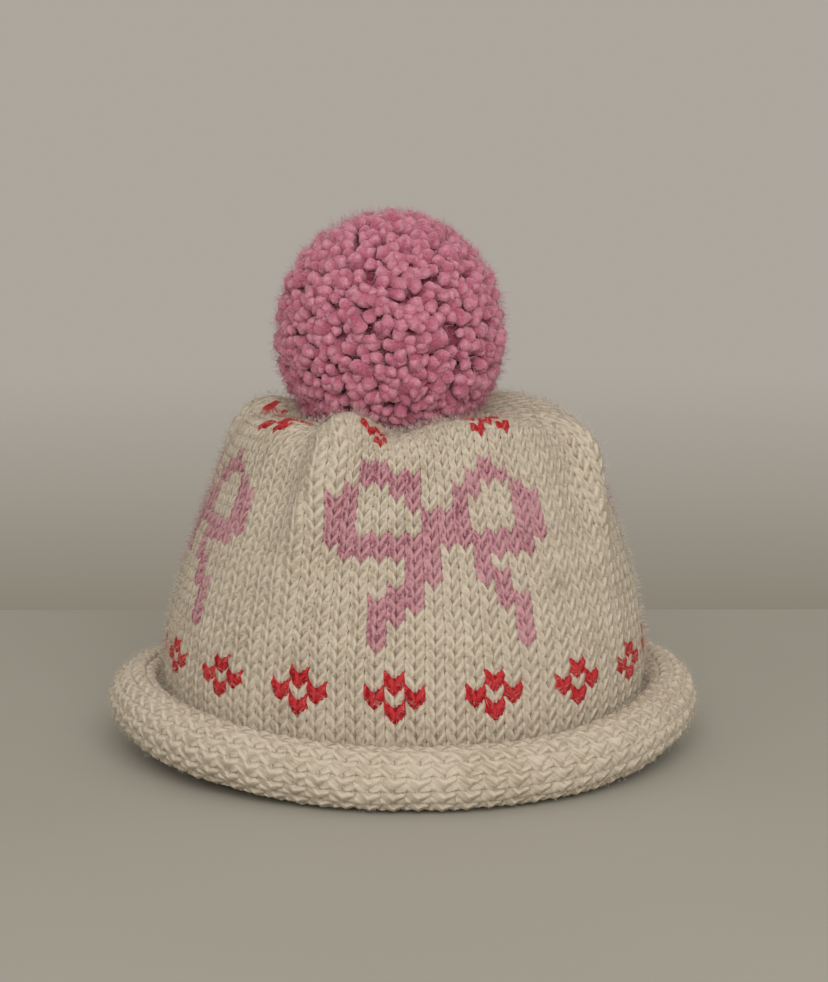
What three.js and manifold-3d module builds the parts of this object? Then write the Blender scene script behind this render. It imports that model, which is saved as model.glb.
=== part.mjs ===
// Hand-knit hat: a four-panel crown, a brim that rolls outwards and a cut-yarn pompom.
// Millimetres, +Z up. The origin lies on the surface that the brim rests on, below the
// middle of the crown, and the front panel faces -Y.
import * as THREE from "three";
import { mergeVertices } from "three/addons/utils/BufferGeometryUtils.js";
import Module from "manifold-3d";

const wasm = await Module();
wasm.setup();

// Driving sizes
const WALL = 3.6; // stranded knit, two yarns deep
const GAP = 0.3; // between pieces that touch
const SIDES = 56; // facets round the hat
const PANELS = 4; // one between each two decrease lines

// Crown: rows run from the lower edge of its outer face to the middle of the top.
// square is how far the corners stand out and the panels lie in, ridge is the height
// of the decrease line at each corner.
const CROWN_SECTIONS = [
  { r: 63.8, z: 8.25, square: 0.0, ridge: 0.0 }, // GAP above the start of the brim
  { r: 64.1, z: 20.0, square: 0.0, ridge: 0.0 },
  { r: 63.0, z: 32.0, square: 0.1, ridge: 0.1 },
  { r: 60.2, z: 45.0, square: 0.4, ridge: 0.4 },
  { r: 56.2, z: 58.0, square: 0.8, ridge: 1.2 },
  { r: 51.8, z: 70.0, square: 1.2, ridge: 2.2 },
  { r: 48.7, z: 80.2, square: 1.2, ridge: 2.8 },
  { r: 45.3, z: 87.0, square: 0.7, ridge: 2.0 },
  { r: 39.4, z: 90.2, square: 0.3, ridge: 1.0 },
  { r: 29.6, z: 88.4, square: 0.1, ridge: 0.7 },
  { r: 17.0, z: 85.2, square: 0.0, ridge: 0.4 },
  { r: 0.0, z: 83.6, square: 0.0, ridge: 0.0 },
];
const CROWN_OUTER_STEPS = 19;
const CROWN_INNER_STEPS = 12;
const RIDGE_WIDTH = 5.2; // from the crest of a decrease line to where its hollow starts
const LINE_LEAN = THREE.MathUtils.degToRad(9); // how far round a decrease line drifts on its way up
const LEAN_FOOT = 48; // height at which it starts to drift
const LEAN_TOP = 86; // and at which it has arrived
const CROWN_LUMPS = [
  // slow unevenness of hand knitting: waves round the crown, their height and their start
  { waves: 1, height: 1.2, start: 0.0 },
  { waves: 3, height: 0.35, start: 0.6 },
  { waves: 5, height: 0.25, start: 2.1 },
];
const CROWN_SAGS = [
  // where the rim gives way: the middle of the sag in degrees round from the front and in height,
  // how far it spreads round and reaches up and down, and its depth
  { turn: -16, spread: 14, z: 91, reach: 7, depth: 4.4 }, // under the front of the pompom
  { turn: -118, spread: 42, z: 88, reach: 10, depth: 2.6 }, // a slack corner at the back
];

// Brim: the knit leaves the crown at a turn of 180 degrees, passes under the roll at 270,
// outside it at 360, over it at 450 and then in behind itself. reach is the distance of the
// middle of the wall from the heart of the roll.
const ROLL_RADIUS = 70.2; // from the hat's axis to the heart of the roll
const ROLL_HEIGHT = 7.95; // of the heart above the surface it rests on
const ROLL_SECTIONS = [
  { turn: 180, reach: 8.2 },
  { turn: 270, reach: 6.6 },
  { turn: 360, reach: 6.6 },
  { turn: 450, reach: 6.6 },
  { turn: 540, reach: 3.9 },
  { turn: 630, reach: 2.3 },
  { turn: 660, reach: 2.2 },
];
const ROLL_STEP = 30;
const SIDE_LIFT = 5.6; // the roll rests at the front and the back, and rises at the two sides
const FOOT_FLAT = 0.65; // of that rise is taken up where it rests
const FOOT_TURN = THREE.MathUtils.degToRad(-5); // the feet lie a little to one side
const LIFT_TOP = 30; // height at which the crown no longer follows the rise
const ROLL_LUMPS = [
  { waves: 4, height: 0.3, start: 0.4 },
  { waves: 6, height: 0.2, start: 1.7 },
];

// Pompom: locks of cut yarn fused to a round head, sat in the hollow of the crown's top
const POMPOM_RADIUS = 29.8;
const POMPOM_CENTRE = new THREE.Vector3(-3.6, 0, 110.4);
const POMPOM_SQUASH = 1.02; // height over width
const LOWER_FULLNESS = 0.07; // by how much the lower half bulges out over the crown
const HEAD_RADIUS = 26.0;
const LOCKS = 92;
const LOCK_SIDES = 5;
const LOCK_ROOT_RADIUS = 2.0;
const LOCK_TIP_RADIUS = 4.3;
const LOCK_DOME = 2.0;
const LOCK_UNEVENNESS = 0.9; // how far the shortest lock falls behind the longest
const GOLDEN_ANGLE = Math.PI * (3 - Math.sqrt(5));

const CREAM = new THREE.MeshStandardMaterial({ color: 0xd9cfbd, roughness: 0.95, metalness: 0 });
const ROSE = new THREE.MeshStandardMaterial({ color: 0xb9687c, roughness: 0.95, metalness: 0 });

const lumps = (rows, turn) =>
  rows.reduce((sum, w) => sum + w.height * Math.sin(w.waves * turn + w.start), 0);

// A smooth path through two columns of a table, read at a share from 0 to 1.
function pathThrough(rows, first, second) {
  const stops = rows.map((row) => new THREE.Vector3(row[first], row[second], 0));
  return new THREE.CatmullRomCurve3(stops, false, "catmullrom", 0.5);
}

const crownFace = pathThrough(CROWN_SECTIONS, "r", "z");
const crownForm = pathThrough(CROWN_SECTIONS, "square", "ridge");

// One station of the crown's profile, at a share of the way up and a depth below the outer face.
function crownStation(share, depth) {
  const face = crownFace.getPoint(share);
  const along = crownFace.getTangent(share);
  const apex = share === 1;
  const normal = apex ? { r: 0, z: 1 } : { r: along.y, z: -along.x };
  const form = crownForm.getPoint(share);
  return {
    r: apex ? 0 : face.x - normal.r * depth,
    z: face.y - normal.z * depth,
    normal,
    faceRadius: face.x,
    faceHeight: face.y,
    lean: LINE_LEAN * THREE.MathUtils.smoothstep(face.y, LEAN_FOOT, LEAN_TOP),
    square: form.x,
    ridge: form.y,
    softness: Math.sin(Math.PI * share),
    rises: liftShare(face.y),
  };
}

// The rise of the brim at a turn about the axis, and the share of it that a height follows.
const sideLift = (turn) => Math.max(0, SIDE_LIFT * Math.sin(turn - FOOT_TURN) ** 2 - FOOT_FLAT);
const liftShare = (z) => 1 - THREE.MathUtils.smoothstep(z, CROWN_SECTIONS[0].z, LIFT_TOP);

// How far the knit stands out from its round profile, at a turn counted along the lean of the lines.
function crownLift(station, turn) {
  const panel = (2 * Math.PI) / PANELS;
  const fromCorner = ((turn / panel) % 1) * panel - panel / 2;
  const away = (Math.abs(fromCorner) * station.faceRadius) / RIDGE_WIDTH;
  const bead = station.ridge * (1 - away * away) * Math.exp(-0.5 * away * away);
  const corner = -station.square * Math.cos(PANELS * turn);
  const round = turn + station.lean;
  return bead + corner + station.softness * (lumps(CROWN_LUMPS, round) - sag(station, round));
}

// How deep the rim sags at a turn, the nearer way round to the middle of each sag.
function sag(station, turn) {
  return CROWN_SAGS.reduce((sum, row) => {
    const apart = THREE.MathUtils.radToDeg(turn) - row.turn;
    const round = (THREE.MathUtils.euclideanModulo(apart + 180, 360) - 180) / row.spread;
    const rise = (station.faceHeight - row.z) / row.reach;
    return sum + row.depth * Math.exp(-round * round - rise * rise);
  }, 0);
}

// The profile turned about +Z from the front, each station moved along its normal by
// lift(station, turn), raised with the sides of the brim and turned on by its lean.
function revolve(stations, lift) {
  const profile = stations.map((s) => new THREE.Vector2(s.r, s.z));
  const geometry = new THREE.LatheGeometry(profile, SIDES);
  const place = geometry.getAttribute("position");
  for (let side = 0; side <= SIDES; side++) {
    const turn = (2 * Math.PI * (side % SIDES)) / SIDES;
    stations.forEach((station, k) => {
      const out = lift(station, turn);
      const r = station.r + out * station.normal.r;
      const z = station.z + out * station.normal.z + sideLift(turn) * station.rises;
      const round = turn + station.lean;
      place.setXYZ(side * stations.length + k, r * Math.sin(round), -r * Math.cos(round), z);
    });
  }
  geometry.computeVertexNormals();
  return geometry;
}

const shares = (steps) => Array.from({ length: steps + 1 }, (_, k) => k / steps);

// The hollow wall: down the inner face from the axis, round the lower edge and up the outer face.
function crownGeometry() {
  const inner = shares(CROWN_INNER_STEPS).map((share) => crownStation(share, WALL)).reverse();
  const outer = shares(CROWN_OUTER_STEPS).map((share) => crownStation(share, 0));
  return revolve([...inner, ...outer], crownLift);
}

// The same outer face closed across its lower edge, raised by the gap that the pompom keeps to it.
function crownSeatGeometry() {
  const outer = shares(CROWN_OUTER_STEPS).map((share) => crownStation(share, 0));
  const floor = { ...outer[0], r: 0, rises: 0 };
  return revolve([floor, ...outer], crownLift).translate(0, 0, GAP);
}

// The wall's distance from the heart of the roll, eased between the rows of the table.
function rollReach(turn) {
  const next = ROLL_SECTIONS.findIndex((row) => row.turn >= turn);
  const to = ROLL_SECTIONS[Math.max(next, 1)];
  const from = ROLL_SECTIONS[Math.max(next, 1) - 1];
  return THREE.MathUtils.lerp(
    from.reach,
    to.reach,
    THREE.MathUtils.smoothstep(turn, from.turn, to.turn),
  );
}

function rollStation(turn, side) {
  const angle = THREE.MathUtils.degToRad(turn);
  const reach = rollReach(turn) + (side * WALL) / 2;
  const normal = { r: Math.cos(angle), z: Math.sin(angle) };
  const height = ROLL_HEIGHT + reach * normal.z;
  return {
    r: ROLL_RADIUS + reach * normal.r,
    z: Math.max(0, height), // flattened where it rests
    normal,
    swells: height > 0 ? Math.max(0, normal.r) : 0,
    lean: 0,
    rises: 1,
  };
}

// The roll swells and narrows a little on its outer half, and keeps its foot flat.
const rollLift = (station, turn) => station.swells * lumps(ROLL_LUMPS, turn);

function brimGeometry() {
  const first = ROLL_SECTIONS[0].turn;
  const last = ROLL_SECTIONS[ROLL_SECTIONS.length - 1].turn;
  const turns = [first];
  for (let turn = first + ROLL_STEP / 2; turn < last; turn += ROLL_STEP) turns.push(turn);
  turns.push(last);
  const outer = turns.map((turn) => rollStation(turn, 1));
  const inner = turns.map((turn) => rollStation(turn, -1)).reverse();
  return revolve([...outer, ...inner, outer[0]], rollLift);
}

// A closed geometry as a solid for joins and cuts, and back.
function solidOf(geometry) {
  const bare = geometry.clone();
  bare.deleteAttribute("normal");
  bare.deleteAttribute("uv");
  const merged = mergeVertices(bare, 1e-3);
  return new wasm.Manifold(
    new wasm.Mesh({
      numProp: 3,
      vertProperties: merged.getAttribute("position").array,
      triVerts: new Uint32Array(merged.index.array),
    }),
  );
}

function geometryOf(solid) {
  const mesh = solid.getMesh();
  const geometry = new THREE.BufferGeometry();
  geometry.setAttribute("position", new THREE.BufferAttribute(mesh.vertProperties, 3));
  geometry.setIndex(new THREE.BufferAttribute(mesh.triVerts, 1));
  geometry.computeVertexNormals();
  return geometry;
}

// One lock of yarn, growing from the pompom's centre through its head and ending in a low dome.
function lockGeometry(direction, length) {
  const profile = [
    new THREE.Vector2(0, HEAD_RADIUS / 2),
    new THREE.Vector2(LOCK_ROOT_RADIUS, HEAD_RADIUS / 2),
    new THREE.Vector2(LOCK_TIP_RADIUS, length - LOCK_DOME),
    new THREE.Vector2(0, length),
  ];
  const stand = new THREE.Quaternion().setFromUnitVectors(new THREE.Vector3(0, 1, 0), direction);
  return new THREE.LatheGeometry(profile, LOCK_SIDES).applyQuaternion(stand);
}

// Locks spread evenly over the ball by the golden angle.
function pompomGeometry() {
  let ball = solidOf(new THREE.IcosahedronGeometry(HEAD_RADIUS, 2));
  for (let k = 0; k < LOCKS; k++) {
    const up = 1 - (2 * k + 1) / LOCKS;
    const flat = Math.sqrt(1 - up * up);
    const turn = k * GOLDEN_ANGLE;
    const direction = new THREE.Vector3(flat * Math.cos(turn), flat * Math.sin(turn), up);
    const shortfall = LOCK_UNEVENNESS * (0.5 + 0.5 * Math.sin(7 * turn));
    const bulge = 1 + LOWER_FULLNESS * Math.max(0, -2 * up * flat);
    ball = ball.add(solidOf(lockGeometry(direction, POMPOM_RADIUS * bulge - shortfall)));
  }
  const seated = ball
    .scale([1, 1, POMPOM_SQUASH])
    .translate(POMPOM_CENTRE.toArray())
    .subtract(solidOf(crownSeatGeometry()));
  return geometryOf(seated);
}

function piece(name, geometry, material) {
  const mesh = new THREE.Mesh(geometry, material);
  mesh.name = name;
  return mesh;
}

const hat = new THREE.Group();
hat.name = "knit_hat";
hat.add(piece("crown", crownGeometry(), CREAM));
hat.add(piece("rolled_brim", brimGeometry(), CREAM));
hat.add(piece("pompom", pompomGeometry(), ROSE));

export default hat;
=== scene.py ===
# %% [markdown]
# # A hand-knit baby hat, stitch by stitch
# The hat is one tube of knitting: it starts with a brim that curls outwards by itself, goes up through bands
# of flowers and bows, is gathered along four lines and closes under a pompom. A smooth shell with a knit
# picture on it would look right only from afar, so here every stitch is a loop of yarn that hangs in the
# loops of the row below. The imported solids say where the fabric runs, and nothing else is read from disk.

# %% Load the frame
import math

import bmesh
import bpy
import numpy as np
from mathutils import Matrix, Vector
from mathutils.bvhtree import BVHTree


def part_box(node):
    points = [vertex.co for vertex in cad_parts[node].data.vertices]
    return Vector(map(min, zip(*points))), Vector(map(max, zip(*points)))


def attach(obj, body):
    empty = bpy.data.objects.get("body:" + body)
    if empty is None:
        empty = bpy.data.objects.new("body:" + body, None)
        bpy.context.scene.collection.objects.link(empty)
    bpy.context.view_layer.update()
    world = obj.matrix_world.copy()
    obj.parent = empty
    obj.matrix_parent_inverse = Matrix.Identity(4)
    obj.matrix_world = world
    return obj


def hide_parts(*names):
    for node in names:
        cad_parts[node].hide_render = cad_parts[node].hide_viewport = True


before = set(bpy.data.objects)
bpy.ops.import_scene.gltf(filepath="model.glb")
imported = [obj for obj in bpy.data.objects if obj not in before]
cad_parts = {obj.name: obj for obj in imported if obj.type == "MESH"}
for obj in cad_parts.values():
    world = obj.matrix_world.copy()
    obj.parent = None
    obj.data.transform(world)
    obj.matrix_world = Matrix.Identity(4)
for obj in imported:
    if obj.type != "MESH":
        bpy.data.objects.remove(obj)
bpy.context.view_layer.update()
MM = 0.001
UP = Vector((0, 0, 1))

# %% [markdown]
# ## Where the fabric runs
# The frame holds the crown and the brim as walls of one thickness. Yarn weaves to and fro about the middle of
# such a wall, so the first thing to find is that middle. It could be modelled again by hand, but a measured
# one can't drift away from the frame. Rays are sent through each wall on 168 lines round the hat, and the
# point halfway between going in and coming out is kept.

# %% Rays through a wall
MERIDIANS = 168
PAST_FACE = 1e-6  # in metres: a ray goes on from just behind the face that it met


def out_from_axis(turn):
    """The level direction at a turn about the axis, from the front towards +X."""
    return Vector((math.sin(turn), -math.cos(turn), 0))


def turned_up(out, degrees):
    """A level direction, turned up by some degrees."""
    angle = math.radians(degrees)
    return out * math.cos(angle) + UP * math.sin(angle)


def surface_of(node):
    """The faces of one solid of the frame, ready for rays."""
    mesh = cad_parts[node].data
    return BVHTree.FromPolygons([v.co.copy() for v in mesh.vertices], [p.vertices[:] for p in mesh.polygons])


def walls_on_ray(surface, start, direction):
    """Pairs of distances at which a ray goes into a wall and comes out of it."""
    distances = []
    travelled = 0.0
    while True:
        hit = surface.ray_cast(start + direction * travelled, direction)
        if hit[0] is None:
            return list(zip(distances[0::2], distances[1::2]))
        travelled += hit[3] + PAST_FACE
        distances.append(travelled)


crown_surface = surface_of("crown")
brim_surface = surface_of("rolled_brim")
turns = [2 * math.pi * (k + 0.5) / MERIDIANS for k in range(MERIDIANS)]
print("lines round the hat:", len(turns))

# %% [markdown]
# ## The roll of the brim
# Plain knitting curls towards its smooth side, so an edge with no ribbing rolls up into a tube. Seen from the
# heart of that tube, the fabric starts at the cast-on edge inside, winds once round and leaves along the
# crown. The heart is found from the top and the outside of the roll on each line, because the hat rests on
# its front and back and lifts a little at the sides.

# %% Measure the roll
ROLL_RADIUS = 8.4 * MM
ROLL_REACH = 1.4 * ROLL_RADIUS  # a wall further off is no part of the roll on this line
CAST_ON_TURN, LEAVING_TURN = 645, 186  # in degrees about the heart of the roll
INNER_TURN = 540  # until there the fabric is the inner one of two layers
ROLL_STATIONS = 40
ABOVE_BRIM, OUTSIDE_BRIM = 0.1, 0.2  # in metres, where rays start
brim_low, brim_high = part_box("rolled_brim")
heart_radius = (brim_high[0] - brim_low[0]) / 2 - ROLL_RADIUS


def roll_line(turn):
    """The middle of the rolled wall on one line, from the cast-on edge to the crown."""
    out = out_from_axis(turn)
    top = brim_surface.ray_cast(out * heart_radius + UP * ABOVE_BRIM, -UP)[0].z
    side = brim_surface.ray_cast(out * OUTSIDE_BRIM + UP * (top - ROLL_RADIUS), -out)[0]
    heart = side - out * ROLL_RADIUS
    line = []
    for degrees in np.linspace(CAST_ON_TURN, LEAVING_TURN, ROLL_STATIONS):
        direction = turned_up(out, degrees)
        walls = [w for w in walls_on_ray(brim_surface, heart, direction) if w[1] < ROLL_REACH]
        near, far = walls[0] if degrees > INNER_TURN else walls[-1]
        line.append(heart + direction * (near + far) / 2)
    return line


roll_lines = [roll_line(turn) for turn in turns]
print("roll, front line from cast-on to crown, height mm:", [round(p.z / MM, 1) for p in roll_lines[0]][::6])

# %% [markdown]
# ## The crown
# The crown is measured the same way from a point inside it. Its lower edge follows the lifted brim, so the
# first stations share out the height that each line has left, and the rest lie at the same slopes all round.

# %% Measure the crown
EYE = UP * 45 * MM
LOWEST_SLOPE, LEVEL_SLOPE, TOP_SLOPE = -40, -13, 87  # in degrees, as seen from the eye
SLOPE_STEP = 0.25
EDGE_MARGIN = 1
EDGE_STATIONS = 7
CROWN_STATIONS = 52


def crown_line(turn):
    """The middle of the crown's wall on one line, from its lower edge to the top."""
    out = out_from_axis(turn)

    def middle(degrees):
        direction = turned_up(out, degrees)
        walls = walls_on_ray(crown_surface, EYE, direction)
        return EYE + direction * sum(walls[0]) / 2 if walls else None

    edge = next(d for d in np.arange(LOWEST_SLOPE, LEVEL_SLOPE, SLOPE_STEP) if middle(d))
    slopes = list(np.linspace(edge + EDGE_MARGIN, LEVEL_SLOPE, EDGE_STATIONS))[:-1]
    slopes += list(np.linspace(LEVEL_SLOPE, TOP_SLOPE, CROWN_STATIONS))
    return [middle(d) for d in slopes]


lines = np.array([roll + crown_line(turn) for roll, turn in zip(roll_lines, turns)])
print("lines x stations:", lines.shape[:2])

# %% [markdown]
# ## A form to knit on
# The lines become one smooth sheet, the form. Averaging each point with its neighbours takes the facets of
# the frame out of it. Its UV map counts in knitting: across it runs the share of a turn, up it runs the row.
# Row 0 is where the crown rises out of the roll, and the brim's rows count down from there.

# %% Smooth the form and count its rows
ROW = 3.1 * MM
ROW_ZERO_HEIGHT = 17 * MM
FOOT = 2.3 * MM  # the middle of the knit can't come closer to what the hat rests on
PASSES_ROUND, PASSES_UP = 5, 2  # how often points are averaged each way
RISING_STATIONS = 20  # the lower crown, where each station is higher than the last

for _ in range(PASSES_ROUND):
    lines = 0.5 * lines + 0.25 * (np.roll(lines, 1, axis=0) + np.roll(lines, -1, axis=0))
for _ in range(PASSES_UP):
    lines[:, 1:-1] = 0.5 * lines[:, 1:-1] + 0.25 * (lines[:, 2:] + lines[:, :-2])
lines[:, :, 2] = np.maximum(lines[:, :, 2], FOOT)
steps = np.linalg.norm(np.diff(lines, axis=1), axis=2).mean(axis=0)
along = np.concatenate([[0], np.cumsum(steps)])
rising = slice(ROLL_STATIONS, ROLL_STATIONS + RISING_STATIONS)
seam = np.interp(ROW_ZERO_HEIGHT, lines[:, rising, 2].mean(axis=0), along[rising])
rows = (along - seam) / ROW
print("rows from", round(rows[0], 1), "to", round(rows[-1], 1))

# %% [markdown]
# ## The four raised lines
# Where two stitches are knitted together in every second row, the fabric heaps up into a cord with a hollow
# on each side. The frame has these lines in a broad form, and the smoothing has taken some of it away. So a
# narrow bead is added along the form's normal at the four corners, higher towards the top.

# %% Raise the lines
RIDGE_ROWS = (9, 15, 21, 25, 30)
RIDGE_HEIGHTS = (0.0, 1.6 * MM, 2.6 * MM, 2.8 * MM, 1.2 * MM)
RIDGE_WIDTH = 5.4 * MM
LINE_LEAN = math.radians(9)  # the lines drift round on their way up
LEAN_FOOT, LEAN_TOP = 48 * MM, 86 * MM

round_the_hat = np.roll(lines, -1, axis=0) - np.roll(lines, 1, axis=0)
up_the_hat = np.gradient(lines, axis=1)
normals = np.cross(round_the_hat, up_the_hat)
normals /= np.linalg.norm(normals, axis=2, keepdims=True)
risen = np.clip((lines[:, :, 2] - LEAN_FOOT) / (LEAN_TOP - LEAN_FOOT), 0, 1)
lean = LINE_LEAN * risen ** 2 * (3 - 2 * risen)
from_corner = np.abs((np.array(turns)[:, None] - lean) / (math.pi / 2) % 1 - 0.5) * math.pi / 2
away = from_corner * np.hypot(lines[:, :, 0], lines[:, :, 1]) / RIDGE_WIDTH
bead = np.interp(rows, RIDGE_ROWS, RIDGE_HEIGHTS) * (1 - away ** 2) * np.exp(-away ** 2 / 2)
lines = lines + bead[:, :, None] * normals
print("raised lines:", round(bead.max() / MM, 1), "mm high")

# %% [markdown]
# Wool gives way under its own weight: in the photograph the rim is rounder at the right than the frame's. The
# form is let down there by a smooth bump in both directions.

# %% Let one corner down
SAG_TURN, SAG_SPREAD = math.radians(66), math.radians(24)
SAG_HEIGHT, SAG_REACH = 93 * MM, 8 * MM
SAG_DEPTH = 5.2 * MM

round_from_sag = (np.array(turns)[:, None] - SAG_TURN) / SAG_SPREAD
up_from_sag = (lines[:, :, 2] - SAG_HEIGHT) / SAG_REACH
sag = SAG_DEPTH * np.exp(-round_from_sag ** 2 - up_from_sag ** 2)
lines = lines - sag[:, :, None] * normals
print("corner let down by", round(sag.max() / MM, 1), "mm")

# %% [markdown]
# The form is a helper and goes away at the end. Its normals are kept as an attribute of its points, so that
# they can be blended smoothly across each face when the yarn is wrapped on it.

# %% Build the form
FORM_START, FORM_END = -0.2, 0.95  # in turns: more than one, so that no stitch falls off an edge
CROWN_FRONT = Vector((0, -62 * MM, 30 * MM))


def placed(name, data):
    """An object in the scene for a mesh, a lamp or a lens."""
    made = bpy.data.objects.new(name, data)
    bpy.context.collection.objects.link(made)
    return made


def mesh_object(name, vertices, faces):
    """An object from points and faces."""
    mesh = bpy.data.meshes.new(name)
    mesh.from_pydata(vertices, [], faces)
    return placed(name, mesh)


def form_sheet(name, first_turn, last_turn, first_row, last_row, outside=1):
    """The part of the form between two turns and two rows, with its knitting count as a UV map."""
    columns = range(round(first_turn * MERIDIANS), round(last_turn * MERIDIANS) + 1)
    stations = [s for s in range(len(rows)) if first_row <= rows[s] <= last_row]
    tall = len(stations)
    vertices = [lines[c % MERIDIANS, s] for c in columns for s in stations]
    count = [((c + 0.5) / MERIDIANS, rows[s]) for c in columns for s in stations]
    faces = []
    for c in range(len(columns) - 1):
        for s in range(tall - 1):
            quad = (c * tall + s, (c + 1) * tall + s, (c + 1) * tall + s + 1, c * tall + s + 1)
            faces.append(quad[::outside])
    made = mesh_object(name, vertices, faces)
    uv = made.data.uv_layers.new(name="knitting")
    for loop in made.data.loops:
        turn, row = count[loop.vertex_index]
        across = (turn - FORM_START) / (FORM_END - FORM_START)
        uv.data[loop.index].uv = (across, (row - rows[0]) / (rows[-1] - rows[0]))
    made.data.shade_smooth()
    return made


form = form_sheet("form", FORM_START, FORM_END, rows[0], rows[-1])
outward = form.data.attributes.new("outward", "FLOAT_VECTOR", "POINT")
for vertex in form.data.vertices:
    outward.data[vertex.index].vector = vertex.normal
front = min(form.data.vertices, key=lambda v: (v.co - CROWN_FRONT).length)
print("form faces:", len(form.data.polygons), "normal on the front:", [round(c, 2) for c in front.normal])

# %% [markdown]
# ## Wool
# The yarn is a soft, brushed wool of double-knitting weight: matt, with a haze of loose fibre that catches
# light at grazing angles, and three plies twisted together. That gives the eye a rough surface, a little
# sheen, a slow change of shade along the yarn and a fine spiral, which is bump from the yarn's own UV map and
# painted shade in its colour, darker in the grooves between the plies.
# Sheen alone can't give the halo at the outline, so real fibres are added further down.

# %% Colours and one function for nodes
def linear(hex_colour):
    """An sRGB hex value as linear red, green, blue and alpha."""
    parts = [int(hex_colour[i:i + 2], 16) / 255 for i in (0, 2, 4)]
    return [p / 12.92 if p <= 0.04045 else ((p + 0.055) / 1.055) ** 2.4 for p in parts] + [1]


def add(tree, kind, inputs=None, **settings):
    """A node with its settings, and its inputs as links or as plain values."""
    node = tree.nodes.new(kind)
    for name, value in settings.items():
        setattr(node, name, value)
    for key, value in (inputs or {}).items():
        if isinstance(value, bpy.types.NodeSocket):
            tree.links.new(value, node.inputs[key])
        else:
            node.inputs[key].default_value = value
    return node


def finish(name, sockets):
    """A new material, with its tree and its shader, whose plain sockets are set."""
    made = bpy.data.materials.new(name)
    made.use_nodes = True
    shader = made.node_tree.nodes["Principled BSDF"]
    for socket, value in sockets.items():
        shader.inputs[socket].default_value = value
    return made, made.node_tree, shader


print("a hex value of 80 is", round(linear("808080")[0], 2), "of full light")

# %% Spun wool
PLIES = 3
TWISTS_PER_STITCH = 3.5
PATCH = 9 * MM  # length over which a hand-dyed yarn changes shade
FIBRE_SCALE = 2.6  # noise in each twist of the yarn
FIBRE_DRIFT = 0.3 / MM  # moves that noise from stitch to stitch, so that no two are alike
# The plies' share is painted shade: the colour is darker in the grooves between plies.
PATCH_SHARE, FIBRE_SHARE, PLY_SHADE_SHARE = 0.5, 0.9, 0.1  # what each adds to the shade
SHADE_BASE = 0.25
SHADE_STOP, BODY_STOP, LIGHT_STOP = 0.72, 0.88, 1.0
YARN_RELIEF = 0.3 * MM


def spun_wool(name, shade, body, light, sheen):
    """Yarn: matt plies in a spiral, painted shade in their grooves, fibres along them and a soft edge of
    light.
    """
    made, tree, shader = finish(
        name,
        {
            "Subsurface Weight": 0.35,
            "Subsurface Radius": (1.0, 0.9, 0.8),
            "Subsurface Scale": 1.0 * MM,
            "Roughness": 0.92,
            "IOR": 1.45,
            "Specular IOR Level": 0.2,
            "Sheen Weight": sheen,
            "Sheen Roughness": 0.55,
            "Sheen Tint": linear(light),
        },
    )
    place = add(tree, "ShaderNodeTexCoord").outputs["Object"]
    yarn = add(tree, "ShaderNodeUVMap", uv_map="yarn").outputs["UV"]
    parts = add(tree, "ShaderNodeSeparateXYZ", {"Vector": yarn}).outputs
    round_the_yarn = add(tree, "ShaderNodeMath", {0: parts["Y"], 1: PLIES}, operation="MULTIPLY").outputs[0]
    twist = add(
        tree,
        "ShaderNodeMath",
        {0: parts["X"], 1: TWISTS_PER_STITCH, 2: round_the_yarn},
        operation="MULTIPLY_ADD",
    ).outputs[0]
    angle = add(tree, "ShaderNodeMath", {0: twist, 1: 2 * math.pi}, operation="MULTIPLY").outputs[0]
    ply = add(tree, "ShaderNodeMath", {0: angle}, operation="SINE").outputs[0]
    own = add(tree, "ShaderNodeVectorMath", {0: place, 1: (FIBRE_DRIFT,) * 3}, operation="DOT_PRODUCT")
    fibre_place = add(tree, "ShaderNodeCombineXYZ", {"X": twist, "Y": parts["X"], "Z": own.outputs["Value"]})
    fibres = add(
        tree,
        "ShaderNodeTexNoise",
        {"Vector": fibre_place.outputs[0], "Scale": FIBRE_SCALE, "Detail": 3.0},
    ).outputs["Fac"]
    patches = add(tree, "ShaderNodeTexNoise", {"Vector": place, "Scale": 1 / PATCH, "Detail": 4.0})
    dyed = add(
        tree,
        "ShaderNodeMath",
        {0: patches.outputs["Fac"], 1: PATCH_SHARE, 2: SHADE_BASE},
        operation="MULTIPLY_ADD",
    ).outputs[0]
    heather = add(
        tree, "ShaderNodeMath", {0: fibres, 1: FIBRE_SHARE, 2: dyed}, operation="MULTIPLY_ADD"
    ).outputs[0]
    # Painted shade: the plies' sine darkens the colour in the grooves between them.
    tone_and_groove_shade = add(
        tree, "ShaderNodeMath", {0: ply, 1: PLY_SHADE_SHARE, 2: heather}, operation="MULTIPLY_ADD"
    ).outputs[0]
    colours = add(tree, "ShaderNodeValToRGB", {"Fac": tone_and_groove_shade})
    colours.color_ramp.elements[0].position = SHADE_STOP
    colours.color_ramp.elements[0].color = linear(shade)
    colours.color_ramp.elements[1].position = LIGHT_STOP
    colours.color_ramp.elements[1].color = linear(light)
    colours.color_ramp.elements.new(BODY_STOP).color = linear(body)
    tree.links.new(colours.outputs["Color"], shader.inputs["Base Color"])
    strands = add(tree, "ShaderNodeBump", {"Strength": 0.7, "Distance": YARN_RELIEF, "Height": ply})
    felted = add(
        tree,
        "ShaderNodeBump",
        {"Strength": 0.6, "Distance": YARN_RELIEF, "Height": fibres, "Normal": strands.outputs[0]},
    )
    tree.links.new(felted.outputs["Normal"], shader.inputs["Normal"])
    return made


cream_wool = spun_wool("cream wool, spun and brushed", "b7a992", "ccbeaa", "dacdba", 0.3)
pink_wool = spun_wool("dusty pink wool, spun and brushed", "8f5261", "bd848e", "d19fa5", 0.3)
red_wool = spun_wool("red wool, spun and brushed", "8c181e", "b9252c", "cc3c40", 0.25)
print("wools:", [m.name for m in (cream_wool, pink_wool, red_wool)])

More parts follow.
